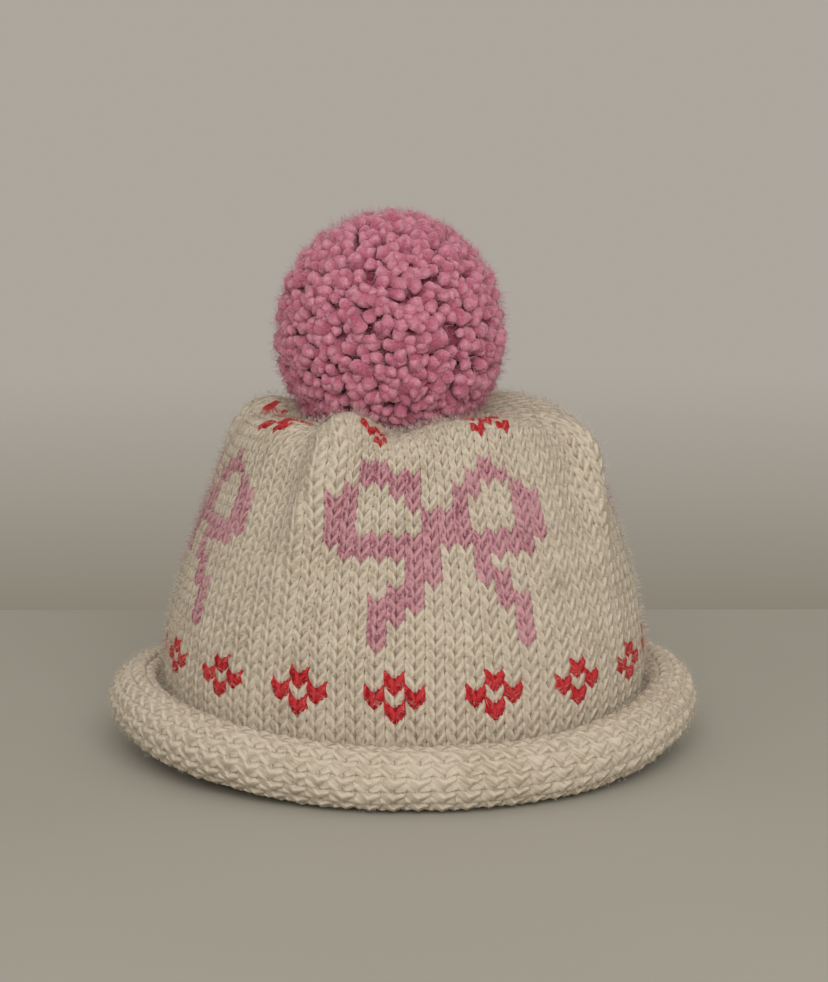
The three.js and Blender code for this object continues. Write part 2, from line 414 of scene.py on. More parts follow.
# %% [markdown]
# ## One stitch
# A stitch is a loop: the yarn comes up on one side, turns over behind the next loop and goes down again. Its
# path is a short formula, the two legs leaning outwards in front and the head and feet lying behind, so that
# copies set side by side and row on row hang in each other as in real knitting. A tube is drawn along that
# path once, in units of one stitch across and one row up.

# %% The path of the yarn and a tube along it
STITCH = 5.0 * MM
YARN_RADIUS = 1.3 * MM
FULL_RADIUS = 1.55 * MM  # the red yarn is a little thicker, and hides the cream one behind it
LEG_LEAN = 0.25
LOOP_HEIGHT = 0.95
LEG_FRONT = 0.7 * MM
HEAD_BACK = 0.1 * MM
PATH_STEPS = 10
YARN_SIDES = 6
NEARBY = 0.01  # a small step along the path, to find its heading


def yarn_path(t):
    """The middle of the yarn over one stitch, t from -pi to pi, in metres."""
    across = t / (2 * math.pi) + LEG_LEAN * math.sin(2 * t)
    up = LOOP_HEIGHT * math.cos(t)
    front = -LEG_FRONT * math.cos(2 * t) - HEAD_BACK * math.cos(t)
    return Vector((across * STITCH, up * ROW, front))


def stitch_tile(name, radius):
    """A tube along the path, with the share of the stitch and of the yarn's girth as its UV map."""
    vertices, faces, uvs = [], [], []
    for k in range(PATH_STEPS + 1):
        t = -math.pi + 2 * math.pi * k / PATH_STEPS
        heading = (yarn_path(t + NEARBY) - yarn_path(t - NEARBY)).normalized()
        side = heading.cross(UP).normalized()
        over = side.cross(heading)
        for s in range(YARN_SIDES):
            angle = 2 * math.pi * s / YARN_SIDES
            point = yarn_path(t) + radius * (side * math.cos(angle) + over * math.sin(angle))
            vertices.append((point.x / STITCH, point.y / ROW, point.z))
    for k in range(PATH_STEPS):
        for s in range(YARN_SIDES):
            ring, following = k * YARN_SIDES, (k + 1) * YARN_SIDES
            after = (s + 1) % YARN_SIDES
            faces.append((ring + s, following + s, following + after, ring + after))
            u0, u1 = k / PATH_STEPS, (k + 1) / PATH_STEPS
            v0, v1 = s / YARN_SIDES, (s + 1) / YARN_SIDES
            uvs += [(u0, v0), (u1, v0), (u1, v1), (u0, v1)]
    made = mesh_object(name, vertices, faces)
    layer = made.data.uv_layers.new(name="yarn")
    for loop, uv in zip(layer.data, uvs):
        loop.uv = uv
    return made


stitch = stitch_tile("stitch", YARN_RADIUS)
full_stitch = stitch_tile("full stitch", FULL_RADIUS)
print("one stitch has", len(stitch.data.polygons), "faces")

# %% [markdown]
# ## The chart
# A knitter works colours from a chart, one square for each stitch. Each of the four panels has 20 stitches:
# a band of four small flowers and a bow above it. On all panels but one, two crossed flowers follow where the
# panel narrows. From row 22 on stitches are knitted together at both sides of each panel, which makes the
# four raised lines.

# %% Yarn for each stitch
PANELS = 4
PANEL_STITCHES = 20
FIRST_DECREASE, LAST_DECREASE = 22, 40
CLOSED_STITCHES = 2
BOW_FIRST_ROW = 7
BOW = (
    "..XX......X...",
    "..XXXX...XXX..",
    ".X..XX..XX..X.",
    "XX...X..X...XX",
    "XX....XXX...XX",
    "XX....XXX...XX",
    "XXXXXXXXXXXXXX",
    ".XXXXXX..XXXX.",
    ".....XX..X....",
    ".....XX..XX...",
    "....XX....X...",
    "...XXX....XX..",
    "...XX......X..",
    "...X.......X..",
    "...X.......X..",
)
BOW_FIRST_COLUMNS = (-7.5, -4.5, -7.5, -7.5)  # the right-hand bow is further round in the photograph
FLOWER_ROW, FLOWER_CENTRES = 3, (-8.5, -3.5, 1.5, 6.5)
CROSS_ROW, CROSS_CENTRES = 25, ((-5.5, 3.5), (), (-5.5, 3.5), (-5.5, 4.5))  # none shows at the right
LINE_EDGE = -6  # what a cross has beyond this column is lost in the raised line
END_ROWS = 1.6  # a stitch reaches this far up and down, and the form has to go on for it


def bow_has(panel, column, row):
    """Whether the panel's bow covers a stitch."""
    line = len(BOW) - 1 - (row - BOW_FIRST_ROW)
    place = round(column - BOW_FIRST_COLUMNS[panel])
    return 0 <= line < len(BOW) and 0 <= place < len(BOW[0]) and BOW[line][place] == "X"


def yarn_for(panel, column, row):
    """The colour of a stitch on the chart."""
    if bow_has(panel, column, row):
        return "pink"
    if any(abs(column - c) + abs(row - FLOWER_ROW) == 1 for c in FLOWER_CENTRES):
        return "red"
    crossed = any(abs(column - c) == abs(row - CROSS_ROW) <= 1 for c in CROSS_CENTRES[panel])
    if crossed and column > LINE_EDGE:
        return "red"
    return "cream"


def panel_width(row):
    """How many stitches would just fill a panel in a row."""
    share = min(max((row - FIRST_DECREASE) / (LAST_DECREASE - FIRST_DECREASE), 0), 1)
    return PANEL_STITCHES + (CLOSED_STITCHES - PANEL_STITCHES) * share


def stitches_in(row):
    """How many a panel has: two are lost at a time, and what is too many heaps up on the lines."""
    return 2 * math.ceil(panel_width(row) / 2)


FIRST_ROW, LAST_ROW = math.ceil(rows[0] + END_ROWS), math.floor(rows[-1] - END_ROWS)
chart = [
    (panel, k - (stitches_in(row) - 1) / 2, row)
    for row in range(FIRST_ROW, LAST_ROW + 1)
    for panel in range(PANELS)
    for k in range(stitches_in(row))
]
print("stitches:", len(chart), "from row", FIRST_ROW, "to", LAST_ROW)

# %% [markdown]
# ## Knitting with Geometry Nodes
# Thousands of stitches that follow a surface are work for Geometry Nodes. Each stitch is a point at its
# place on the chart, the tile is copied to the points, and the flat swatch is then wrapped: place on the
# chart becomes place on the form's UV map, and what stood in front of the swatch stands out along the form's
# normal. A slow noise shifts the loops a little, because no two hand-knit stitches are alike. It is read on a
# ring, so it closes on itself round the hat and neighbouring panels meet without a gap.

# %% The knitting tree
NOISE_RADIUS = PANELS * PANEL_STITCHES / (2 * math.pi)  # of that ring, in stitches
NOISE_SCALE = 0.45  # for each stitch
NOISE_MEAN = (0.5, 0.5, 0.5)
JOIN_GAP = 0.02 * MM  # ends of yarn closer than this become one


def node_tree(name, **sockets):
    """An empty tree with geometry in and out and a named input for each socket."""
    tree = bpy.data.node_groups.new(name, "GeometryNodeTree")
    tree.interface.new_socket("Geometry", in_out="INPUT", socket_type="NodeSocketGeometry")
    tree.interface.new_socket("Geometry", in_out="OUTPUT", socket_type="NodeSocketGeometry")
    for label, kind in sockets.items():
        tree.interface.new_socket(label, in_out="INPUT", socket_type="NodeSocket" + kind)
    return tree


def knitting_tree():
    """Points on the chart in, yarn on the form out."""
    tree = node_tree(
        "knitting",
        tile="Object",
        form="Object",
        wool="Material",
        unevenness="Float",
        first_decrease="Float",
        last_decrease="Float",
        panel_stitches="Float",
        closed_stitches="Float",
        panels="Float",
        form_start="Float",
        form_end="Float",
        lowest_row="Float",
        highest_row="Float",
    )
    given = add(tree, "NodeGroupInput").outputs
    tile = add(tree, "GeometryNodeObjectInfo", {"Object": given["tile"]}).outputs["Geometry"]
    form_geometry = add(tree, "GeometryNodeObjectInfo", {"Object": given["form"]}).outputs["Geometry"]
    loops = add(tree, "GeometryNodeInstanceOnPoints", {"Points": given["Geometry"], "Instance": tile})
    swatch = add(tree, "GeometryNodeRealizeInstances", {"Geometry": loops.outputs[0]}).outputs[0]
    place = add(tree, "GeometryNodeInputPosition").outputs[0]
    panel = add(tree, "GeometryNodeInputNamedAttribute", {"Name": "panel"}).outputs["Attribute"]

    def turn_at(parts):
        """The share of a turn round the hat at a place on the chart of its panel."""
        stitches = add(
            tree,
            "ShaderNodeMapRange",
            {
                "Value": parts["Y"],
                "From Min": given["first_decrease"],
                "From Max": given["last_decrease"],
                "To Min": given["panel_stitches"],
                "To Max": given["closed_stitches"],
            },
        )
        share = add(tree, "ShaderNodeMath", {0: parts["X"], 1: stitches.outputs[0]}, operation="DIVIDE")
        panels_on = add(tree, "ShaderNodeMath", {0: panel, 1: share.outputs[0]})
        return add(
            tree, "ShaderNodeMath", {0: panels_on.outputs[0], 1: given["panels"]}, operation="DIVIDE"
        ).outputs[0]

    charted = add(tree, "ShaderNodeSeparateXYZ", {"Vector": place}).outputs
    turn = turn_at(charted)
    angle = add(tree, "ShaderNodeMath", {0: turn, 1: 2 * math.pi}, operation="MULTIPLY").outputs[0]
    row_up = add(tree, "ShaderNodeCombineXYZ", {"X": NOISE_RADIUS, "Z": charted["Y"]}).outputs[0]
    ring = add(tree, "ShaderNodeVectorRotate", {"Vector": row_up, "Angle": angle}, rotation_type="Z_AXIS")
    noise = add(tree, "ShaderNodeTexNoise", {"Vector": ring.outputs[0], "Scale": NOISE_SCALE, "Detail": 2.0})
    centred = add(
        tree, "ShaderNodeVectorMath", {0: noise.outputs["Color"], 1: NOISE_MEAN}, operation="SUBTRACT"
    )
    levelled = add(
        tree, "ShaderNodeVectorMath", {0: centred.outputs[0], 1: (1, 1, STITCH)}, operation="MULTIPLY"
    )
    shift = add(
        tree,
        "ShaderNodeVectorMath",
        {0: levelled.outputs[0], "Scale": given["unevenness"]},
        operation="SCALE",
    )
    moved = add(tree, "ShaderNodeVectorMath", {0: place, 1: shift.outputs[0]}).outputs[0]
    at = add(tree, "ShaderNodeSeparateXYZ", {"Vector": moved}).outputs
    across = add(
        tree,
        "ShaderNodeMapRange",
        {"Value": turn_at(at), "From Min": given["form_start"], "From Max": given["form_end"]},
    )
    up = add(
        tree,
        "ShaderNodeMapRange",
        {"Value": at["Y"], "From Min": given["lowest_row"], "From Max": given["highest_row"]},
    )
    uv = add(tree, "ShaderNodeCombineXYZ", {"X": across.outputs[0], "Y": up.outputs[0]}).outputs[0]
    count = add(tree, "GeometryNodeInputNamedAttribute", {"Name": "knitting"}, data_type="FLOAT_VECTOR")
    normal = add(tree, "GeometryNodeInputNamedAttribute", {"Name": "outward"}, data_type="FLOAT_VECTOR")
    sampled = [
        add(
            tree,
            "GeometryNodeSampleUVSurface",
            {"Mesh": form_geometry, "Value": value, "UV Map": count.outputs["Attribute"], "Sample UV": uv},
            data_type="FLOAT_VECTOR",
        ).outputs["Value"]
        for value in (place, normal.outputs["Attribute"])
    ]
    stood_out = add(tree, "ShaderNodeVectorMath", {0: sampled[1], "Scale": at["Z"]}, operation="SCALE")
    wrapped = add(tree, "ShaderNodeVectorMath", {0: sampled[0], 1: stood_out.outputs[0]}).outputs[0]
    hung = add(tree, "GeometryNodeSetPosition", {"Geometry": swatch, "Position": wrapped}).outputs[0]
    joined = add(tree, "GeometryNodeMergeByDistance", {"Geometry": hung, "Distance": JOIN_GAP}).outputs[0]
    smooth = add(tree, "GeometryNodeSetShadeSmooth", {"Geometry": joined}).outputs[0]
    dyed = add(tree, "GeometryNodeSetMaterial", {"Geometry": smooth, "Material": given["wool"]}).outputs[0]
    add(tree, "NodeGroupOutput", {"Geometry": dyed})
    return tree


knitting = knitting_tree()
print("knitting tree:", len(knitting.nodes), "nodes")

# %% [markdown]
# A tree's result lives only in its modifier, so it is copied into a plain mesh of its own. Where a colour
# starts or stops, the yarn has an open end, and these are filled. The cream knit is cut into three pieces,
# each small enough to be exported whole.

# %% Knit the pieces
UNEVENNESS = 0.3  # in stitches
SPLIT_ROW = 13
YARN_CORNERS = 4  # of a face along the yarn: one with more is a filled end


def triangles(piece):
    """How many triangles a piece will have."""
    return sum(len(p.vertices) - 2 for p in piece.data.polygons)


def grown(name, source, tree, **values):
    """The plain mesh that a tree makes from a source object, as a piece of the hat."""
    modifier = source.modifiers.new(tree.name, "NODES")
    modifier.node_group = tree
    for item in tree.interface.items_tree:
        if item.in_out == "INPUT" and item.name in values:
            modifier[item.identifier] = values[item.name]
    view = bpy.context.evaluated_depsgraph_get()
    mesh = bpy.data.meshes.new_from_object(source.evaluated_get(view))
    mesh.name = name
    bpy.data.objects.remove(source)
    return placed(name, mesh)


def knit(name, wool, stitches, tile=stitch):
    """Some stitches of the chart in one wool, with the open ends of yarn closed."""
    swatch = mesh_object(name, [(column, row, 0) for _, column, row in stitches], [])
    panel = swatch.data.attributes.new("panel", "FLOAT", "POINT")
    panel.data.foreach_set("value", [float(p) for p, _, _ in stitches])
    made = grown(
        name,
        swatch,
        knitting,
        tile=tile,
        form=form,
        wool=wool,
        unevenness=UNEVENNESS,
        first_decrease=float(FIRST_DECREASE),
        last_decrease=float(LAST_DECREASE),
        panel_stitches=float(PANEL_STITCHES),
        closed_stitches=float(CLOSED_STITCHES),
        panels=float(PANELS),
        form_start=FORM_START,
        form_end=FORM_END,
        lowest_row=float(rows[0]),
        highest_row=float(rows[-1]),
    )
    ends = bmesh.new()
    ends.from_mesh(made.data)
    bmesh.ops.holes_fill(ends, edges=[e for e in ends.edges if e.is_boundary], sides=0)
    bmesh.ops.triangulate(ends, faces=[f for f in ends.faces if len(f.verts) > YARN_CORNERS])
    ends.to_mesh(made.data)
    ends.free()
    print(name, len(stitches), "stitches", triangles(made), "triangles")
    return made


by_yarn = {colour: [s for s in chart if yarn_for(*s) == colour] for colour in ("cream", "pink", "red")}
brim_knit = knit("brim_knit", cream_wool, [s for s in by_yarn["cream"] if s[2] < 0])
crown_lower = knit("crown_lower_knit", cream_wool, [s for s in by_yarn["cream"] if 0 <= s[2] < SPLIT_ROW])
crown_upper = knit("crown_upper_knit", cream_wool, [s for s in by_yarn["cream"] if s[2] >= SPLIT_ROW])
bows = knit("bow_stitches", pink_wool, by_yarn["pink"])
flowers = knit("flower_stitches", red_wool, by_yarn["red"], full_stitch)

# %% [markdown]
# ## The pompom
# A pompom is yarn wound many times round, tied in the middle and cut: more than a thousand ends stand out
# from one point and hide it. Each end is a short stub with a frayed, rounded tip. Points spread over a ball
# by a tree carry the stubs, and seeded tilts and lengths keep the ball from looking machined.

# %% One cut end of yarn
END_RADIUS = 1.9 * MM
END_LENGTH = 9 * MM
END_SIDES = 8
END_RINGS = ((0.0, 0.6), (0.4, 0.8), (0.7, 1.0), (0.88, 0.95), (0.96, 0.66))  # shares of length and radius
LOBE_DEPTH, LOBE_TWIST = 0.14, 5


def yarn_end():
    """A stub along +Z with its tip at the origin, its three plies showing as lobes."""
    vertices, faces = [], []
    for share, width in END_RINGS:
        for s in range(END_SIDES):
            angle = 2 * math.pi * s / END_SIDES
            lobes = 1 + LOBE_DEPTH * math.cos(PLIES * angle + LOBE_TWIST * share)
            radius = END_RADIUS * width * lobes
            vertices.append((radius * math.cos(angle), radius * math.sin(angle), END_LENGTH * (share - 1)))
    for ring in range(len(END_RINGS) - 1):
        for s in range(END_SIDES):
            low, high, after = ring * END_SIDES, (ring + 1) * END_SIDES, (s + 1) % END_SIDES
            faces.append((low + s, low + after, high + after, high + s))
    faces.append(tuple(range(END_SIDES))[::-1])
    vertices.append((0, 0, 0))
    top = (len(END_RINGS) - 1) * END_SIDES
    for s in range(END_SIDES):
        faces.append((top + s, top + (s + 1) % END_SIDES, len(vertices) - 1))
    made = mesh_object("yarn_end", vertices, faces)
    layer = made.data.uv_layers.new(name="yarn")
    for polygon in made.data.polygons:
        for k in polygon.loop_indices:
            ring, s = divmod(made.data.loops[k].vertex_index, END_SIDES)
            layer.data[k].uv = (ring / len(END_RINGS), s / END_SIDES)
    return made


cut_end = yarn_end()
print("one yarn end has", len(cut_end.data.polygons), "faces")

# %% [markdown]
# The plies come apart at a cut, so an end shows no spiral: it is a felted tuft. Its frayed tip is pale, which
# is painted light that passes through the fibres, and further in it is a dark rose, which is painted shade
# where the next ends crowd it.

# %% Cut wool
FLECK = 0.6 * MM
FLECK_SHARE = 1.1  # how much the flecks count beside the distance to the tip
DEEP_AT, TIP_AT = 0.8, 1.7
MIDDLE_STOP = 0.55
FLECK_RELIEF = 0.5 * MM


def cut_wool(name, crowded_shade, body, tip):
    """Felted tufts: flecked, without gloss, with painted shade at the root and painted light towards the tip.
    """
    made, tree, shader = finish(
        name,
        {
            "Subsurface Weight": 0.35,
            "Subsurface Radius": (1.0, 0.9, 0.9),
            "Subsurface Scale": 1.0 * MM,
            "Roughness": 0.95,
            "Specular IOR Level": 0.1,
            "Sheen Weight": 0.8,
            "Sheen Roughness": 0.6,
            "Sheen Tint": linear(tip),
        },
    )
    place = add(tree, "ShaderNodeTexCoord").outputs["Object"]
    stub = add(tree, "ShaderNodeUVMap", uv_map="yarn").outputs["UV"]
    near_tip = add(tree, "ShaderNodeSeparateXYZ", {"Vector": stub}).outputs["X"]
    flecks = add(
        tree, "ShaderNodeTexNoise", {"Vector": place, "Scale": 1 / FLECK, "Detail": 3.0}
    ).outputs["Fac"]
    mixed = add(
        tree, "ShaderNodeMath", {0: flecks, 1: FLECK_SHARE, 2: near_tip}, operation="MULTIPLY_ADD"
    ).outputs[0]
    share = add(
        tree, "ShaderNodeMapRange", {"Value": mixed, "From Min": DEEP_AT, "From Max": TIP_AT}
    ).outputs[0]
    # From root to tip the colour goes from painted shade to painted light.
    colours = add(tree, "ShaderNodeValToRGB", {"Fac": share})
    colours.color_ramp.elements[0].color = linear(crowded_shade)
    colours.color_ramp.elements[1].color = linear(tip)
    colours.color_ramp.elements.new(MIDDLE_STOP).color = linear(body)
    tree.links.new(colours.outputs["Color"], shader.inputs["Base Color"])
    felted = add(tree, "ShaderNodeBump", {"Strength": 0.8, "Distance": FLECK_RELIEF, "Height": flecks})
    tree.links.new(felted.outputs["Normal"], shader.inputs["Normal"])
    return made


# The first colour is painted shade at the roots, the last is painted light at the tips.
rose_wool = cut_wool("rose wool, cut ends", "b0566e", "d08096", "e2acb9")
print("cut wool:", rose_wool.name)

# %% [markdown]
# Ends on a ball and fibres on knitting are alike: something small stands on a surface, at random places that
# keep a distance from each other, each with a lift, a lean and a size of its own. So one tree serves both. It
# can also keep only what is near the points of another object, or only what is away from them.

# %% The tree that stands ends, or fibres, on a surface
CRUMPLE = 4 * MM  # size of the bends that make no two ends alike
LIFT_SEED, LEAN_SEEDS, SPIN_SEED, SIZE_SEED = 10, (11, 12), 13, 14


def standing_tree():
    """A surface in, strands that stand on it out."""
    tree = node_tree(
        "standing",
        strand="Object",
        wool="Material",
        spacing="Float",
        density="Float",
        lift="Float",
        tilt="Float",
        shortest="Float",
        longest="Float",
        ragged="Float",
        crumple="Float",
        seed="Int",
        neighbour="Object",
        clearance="Float",
        near="Bool",
    )
    given = add(tree, "NodeGroupInput").outputs
    strand = add(tree, "GeometryNodeObjectInfo", {"Object": given["strand"]}).outputs["Geometry"]
    spread = add(
        tree,
        "GeometryNodeDistributePointsOnFaces",
        {
            "Mesh": given["Geometry"],
            "Distance Min": given["spacing"],
            "Density Max": given["density"],
            "Seed": given["seed"],
        },
        distribute_method="POISSON",
    ).outputs
    other = add(tree, "GeometryNodeObjectInfo", {"Object": given["neighbour"]}).outputs["Geometry"]
    apart = add(tree, "GeometryNodeProximity", {0: other}, target_element="POINTS").outputs["Distance"]
    touching = add(
        tree, "FunctionNodeCompare", {0: apart, 1: given["clearance"]}, operation="LESS_THAN"
    ).outputs[0]
    unwanted = add(
        tree, "FunctionNodeBooleanMath", {0: touching, 1: given["near"]}, operation="XOR"
    ).outputs[0]
    kept = add(
        tree, "GeometryNodeDeleteGeometry", {"Geometry": spread["Points"], "Selection": unwanted}
    ).outputs[0]
    sunk = add(
        tree, "ShaderNodeMath", {0: given["lift"], 1: given["ragged"]}, operation="SUBTRACT"
    ).outputs[0]
    height = add(
        tree, "FunctionNodeRandomValue", {2: sunk, 3: given["lift"], "Seed": LIFT_SEED}, data_type="FLOAT"
    ).outputs[1]
    lifted = add(
        tree, "ShaderNodeVectorMath", {0: spread["Normal"], "Scale": height}, operation="SCALE"
    ).outputs[0]
    roots = add(tree, "GeometryNodeSetPosition", {"Geometry": kept, "Offset": lifted}).outputs[0]
    less = add(tree, "ShaderNodeMath", {0: given["tilt"], 1: -1.0}, operation="MULTIPLY").outputs[0]
    lean = [
        add(
            tree, "FunctionNodeRandomValue", {2: less, 3: given["tilt"], "Seed": number}, data_type="FLOAT"
        ).outputs[1]
        for number in LEAN_SEEDS
    ]
    spin = add(
        tree, "FunctionNodeRandomValue", {2: -math.pi, 3: math.pi, "Seed": SPIN_SEED}, data_type="FLOAT"
    ).outputs[1]
    euler = add(tree, "ShaderNodeCombineXYZ", {"X": lean[0], "Y": lean[1], "Z": spin}).outputs[0]
    by = add(tree, "FunctionNodeEulerToRotation", {"Euler": euler}).outputs[0]
    facing = add(
        tree,
        "FunctionNodeRotateRotation",
        {"Rotation": spread["Rotation"], "Rotate By": by},
        rotation_space="LOCAL",
    ).outputs[0]
    size = add(
        tree,
        "FunctionNodeRandomValue",
        {2: given["shortest"], 3: given["longest"], "Seed": SIZE_SEED},
        data_type="FLOAT",
    ).outputs[1]
    strands = add(
        tree,
        "GeometryNodeInstanceOnPoints",
        {"Points": roots, "Instance": strand, "Rotation": facing, "Scale": size},
    ).outputs[0]
    real = add(tree, "GeometryNodeRealizeInstances", {"Geometry": strands}).outputs[0]
    noise = add(tree, "ShaderNodeTexNoise", {"Scale": 1 / CRUMPLE, "Detail": 1.0}).outputs["Color"]
    centred = add(tree, "ShaderNodeVectorMath", {0: noise, 1: NOISE_MEAN}, operation="SUBTRACT").outputs[0]
    pushed = add(
        tree, "ShaderNodeVectorMath", {0: centred, "Scale": given["crumple"]}, operation="SCALE"
    ).outputs[0]
    uneven = add(tree, "GeometryNodeSetPosition", {"Geometry": real, "Offset": pushed}).outputs[0]
    smooth = add(tree, "GeometryNodeSetShadeSmooth", {"Geometry": uneven}).outputs[0]
    dyed = add(tree, "GeometryNodeSetMaterial", {"Geometry": smooth, "Material": given["wool"]}).outputs[0]
    add(tree, "NodeGroupOutput", {"Geometry": dyed})
    return tree


standing = standing_tree()
print("standing tree:", len(standing.nodes), "nodes")

# %% [markdown]
# The ball takes its size and its place from the frame's pompom. It is a little taller than wide, fuller
# below, where its weight presses it out, and flat where it sits on the crown. A core of the same wool closes
# the gaps between the ends.

# %% Stand the ends on a ball
END_SPACING = 2.2 * MM
END_DENSITY = 600000.0  # for each square metre: more than the spacing lets stand
BALL_DETAIL = 4
CORE_DEPTH = 5.0 * MM  # below the tips the ends are packed into a solid ball
pompom_low, pompom_high = (Vector(corner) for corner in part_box("pompom"))
POMPOM_RADIUS = (pompom_high.x - pompom_low.x) / 2
POMPOM_TALL = 1.02  # height over width
LOWER_FULLNESS = 0.07  # its weight spreads the lower half over the crown
pompom_centre = Vector(
    ((pompom_low.x + pompom_high.x) / 2, 0, pompom_high.z - POMPOM_RADIUS * POMPOM_TALL)
)


def bulge(up):
    """How much wider than a ball the pompom is, from -1 at its bottom to 1 at its top."""
    return 1 + LOWER_FULLNESS * max(0, -2 * up * math.sqrt(max(0, 1 - up * up)))


def shaped(name, shape):
    """An object with the shape that a bmesh holds, which is then freed."""
    mesh = bpy.data.meshes.new(name)
    shape.to_mesh(mesh)
    shape.free()
    return placed(name, mesh)


def ball(name, radius):
    """The pompom's form at some radius."""
    shape = bmesh.new()
    bmesh.ops.create_icosphere(shape, subdivisions=BALL_DETAIL, radius=radius)
    for vertex in shape.verts:
        vertex.co *= bulge(vertex.co.z / radius)
        vertex.co.z *= POMPOM_TALL
        vertex.co += pompom_centre
        vertex.co.z = max(vertex.co.z, pompom_low.z)  # it sits flat on the crown
    return shaped(name, shape)


pompom_ends = grown(
    "pompom_ends",
    ball("ball", POMPOM_RADIUS),
    standing,
    strand=cut_end,
    wool=rose_wool,
    spacing=END_SPACING,
    density=END_DENSITY,
    lift=0.4 * MM,
    tilt=0.85,
    shortest=0.7,
    longest=1.1,
    ragged=1.2 * MM,
    crumple=2.2 * MM,
    seed=3,
)
# The core has no yarn UV map, so it takes the rose wool's root colour, which is painted shade.
pompom_core = ball("pompom_core", POMPOM_RADIUS - CORE_DEPTH)
pompom_core.data.materials.append(rose_wool)
pompom_core.data.shade_smooth()
print("pompom:", triangles(pompom_ends), "triangles")

# %% [markdown]
# ## Nap
# Brushed wool has a haze of loose fibres, which softens every edge and fills the hollows between stitches. A
# hair system would be lost in the export, so each fibre is a thin bent spindle of six faces, stood on the
# form by the same tree as the yarn ends. They are fewer than in real wool, and about four times as thick,
# because all the pieces together stay under a million triangles. Red and pink stitches have fibres of their
# own, and cream ones keep off them.

# %% One fibre
FIBRE_WAIST = 0.016 * MM  # for each millimetre of length
TUFT_WAIST = 0.03 * MM  # the fibres of a cut end cling together in small tufts
FIBRE_SIDES = 3
WAIST_AWAY, WAIST_UP = 0.1 * MM, 0.5 * MM
TIP_AWAY, TIP_UP = 0.4 * MM, 0.88 * MM


def bent_fibre(name, waist):
    """A closed spindle one millimetre long: a root, a waist of three corners and a tip that bends away."""
    vertices = [(0, 0, 0)]
    for s in range(FIBRE_SIDES):
        angle = 2 * math.pi * s / FIBRE_SIDES
        vertices.append((WAIST_AWAY + waist * math.cos(angle), waist * math.sin(angle), WAIST_UP))
    vertices.append((TIP_AWAY, 0, TIP_UP))
    faces = []
    for s in range(FIBRE_SIDES):
        after = (s + 1) % FIBRE_SIDES
        faces.append((0, 1 + after, 1 + s))
        faces.append((1 + s, 1 + after, 1 + FIBRE_SIDES))
    return mesh_object(name, vertices, faces)


fibre = bent_fibre("fibre", FIBRE_WAIST)
tuft = bent_fibre("tuft", TUFT_WAIST)
print("one fibre has", len(fibre.data.polygons), "faces")

# %% [markdown]
# A loose fibre is the same wool with light all round it. To the eye it is paler than the yarn below, soft in
# its gloss, and changes in shade with the patches of dye. Its colours are lighter than the yarn's: that is
# painted light, for the light that comes through and round it.

# %% Loose wool
def loose_wool(name, dark, light):
    made, tree, shader = finish(name, {"Roughness": 0.8, "Sheen Weight": 0.2})
    place = add(tree, "ShaderNodeTexCoord").outputs["Object"]
    patches = add(tree, "ShaderNodeTexNoise", {"Vector": place, "Scale": 1 / PATCH, "Detail": 3.0})
    colours = add(tree, "ShaderNodeValToRGB", {"Fac": patches.outputs["Fac"]})
    colours.color_ramp.elements[0].color = linear(dark)
    colours.color_ramp.elements[1].color = linear(light)
    tree.links.new(colours.outputs["Color"], shader.inputs["Base Color"])
    return made


# The loose fibres' colours are paler than their yarns': painted light.
cream_nap = loose_wool("cream wool, loose fibre", "d2c6b2", "e9e0d0")
pink_nap = loose_wool("dusty pink wool, loose fibre", "c898a0", "dcb9bc")
red_nap = loose_wool("red wool, loose fibre", "bc4146", "d46f70")
rose_nap = loose_wool("rose wool, loose fibre", "d08c9e", "e2b0bc")
print("loose wools:", [m.name for m in (cream_nap, pink_nap, red_nap, rose_nap)])

# %% [markdown]
# Fibres start a little above the middle of the fabric and lean every way. The brim shows its purl side, so
# the sheet for its fibres is turned round to face out of the roll. Densities are fibres for each square
# millimetre, and lengths are in millimetres.

# %% Stand the fibres on the knitting
NAP_LIFT = 1.6 * MM
NAP_LENGTH = 3.4
NAP_SHORTEST = 0.4  # of the longest
NAP_SPACING = 0.2 * MM
NAP_TILT = 1.1
STITCH_REACH = 2.2 * MM
ROLL_FIRST, ROLL_LAST = 10, 28  # stations of the roll that show


def middles(name, stitches):
    """A loose point on the form in the middle of each stitch."""
    points = []
    for panel, column, row in stitches:
        turn = (panel + column / panel_width(row)) / PANELS
        left = turn * MERIDIANS - 0.5
        part = left - math.floor(left)
        station = int(np.argmin(np.abs(rows - row)))
        before = lines[math.floor(left) % MERIDIANS, station]
        after = lines[(math.floor(left) + 1) % MERIDIANS, station]
        points.append((1 - part) * before + part * after)
    return mesh_object(name, points, [])


def nap(name, sheet, wool, density, seed, longest=NAP_LENGTH, lift=NAP_LIFT, strand=fibre, **other):
    """Loose fibres that stand on a sheet, as a piece of the hat."""
    made = grown(
        name,
        sheet,
        standing,
        strand=strand,
        wool=wool,
        spacing=NAP_SPACING,
        density=density / MM ** 2,
        lift=lift,
        tilt=NAP_TILT,
        shortest=NAP_SHORTEST * longest,
        longest=longest,
        ragged=0.0,
        crumple=0.0,
        seed=seed,
        **other,
    )
    for vertex in made.data.vertices:
        vertex.co.z = max(vertex.co.z, 0)  # fibres bend on the board
    print(name, triangles(made), "triangles")
    return made


